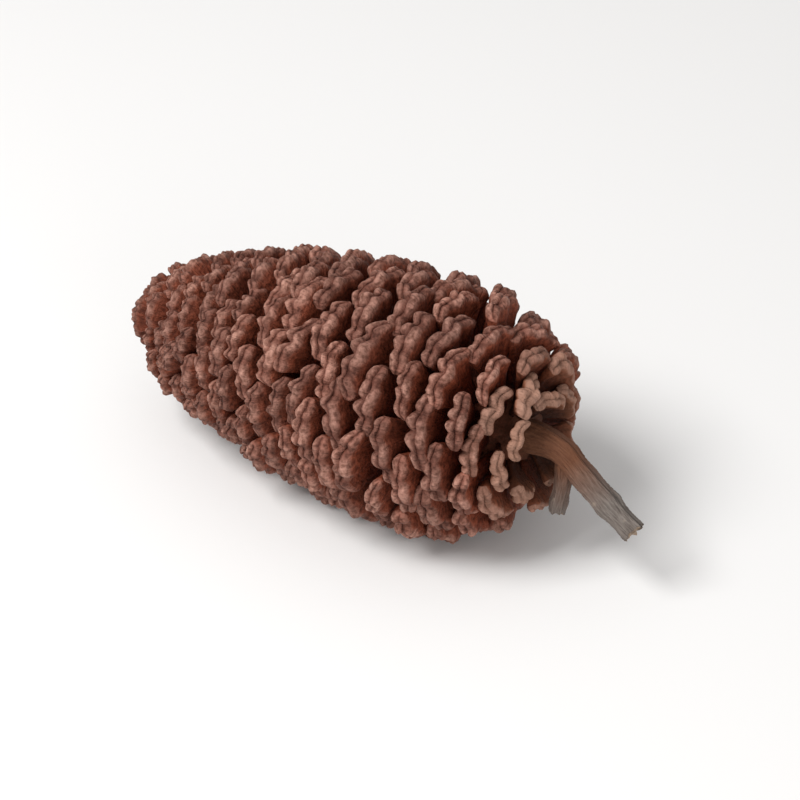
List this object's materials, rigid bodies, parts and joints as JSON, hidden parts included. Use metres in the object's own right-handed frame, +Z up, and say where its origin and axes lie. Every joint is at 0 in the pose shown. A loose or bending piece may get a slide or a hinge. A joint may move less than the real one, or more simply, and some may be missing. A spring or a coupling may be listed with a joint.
{
  "type": "alder cone",
  "caption": "Ripe, open alder cone lying on its side, with thick-lipped woody scales in spirals and the bent stub of its stalk, with the stump of a side twig.",
  "frame": {"origin": "under the middle of the whole, cone and stalk, on the surface that the cone lies on", "axes": "+Z up, +X along the cone from its tip towards its stalk, +Y across it"},
  "size_m": [0.0244, 0.0108, 0.0104],
  "materials": {
    "scales": "dry, matt, red-brown woody scales, paler on their lips and dark in the gaps",
    "bark": "dry, matt, grey-brown twig bark with fine ridges along it"
  },
  "bodies": {
    "root": {"cone": "scales", "stalk": "bark"}
  },
  "joints": []
}
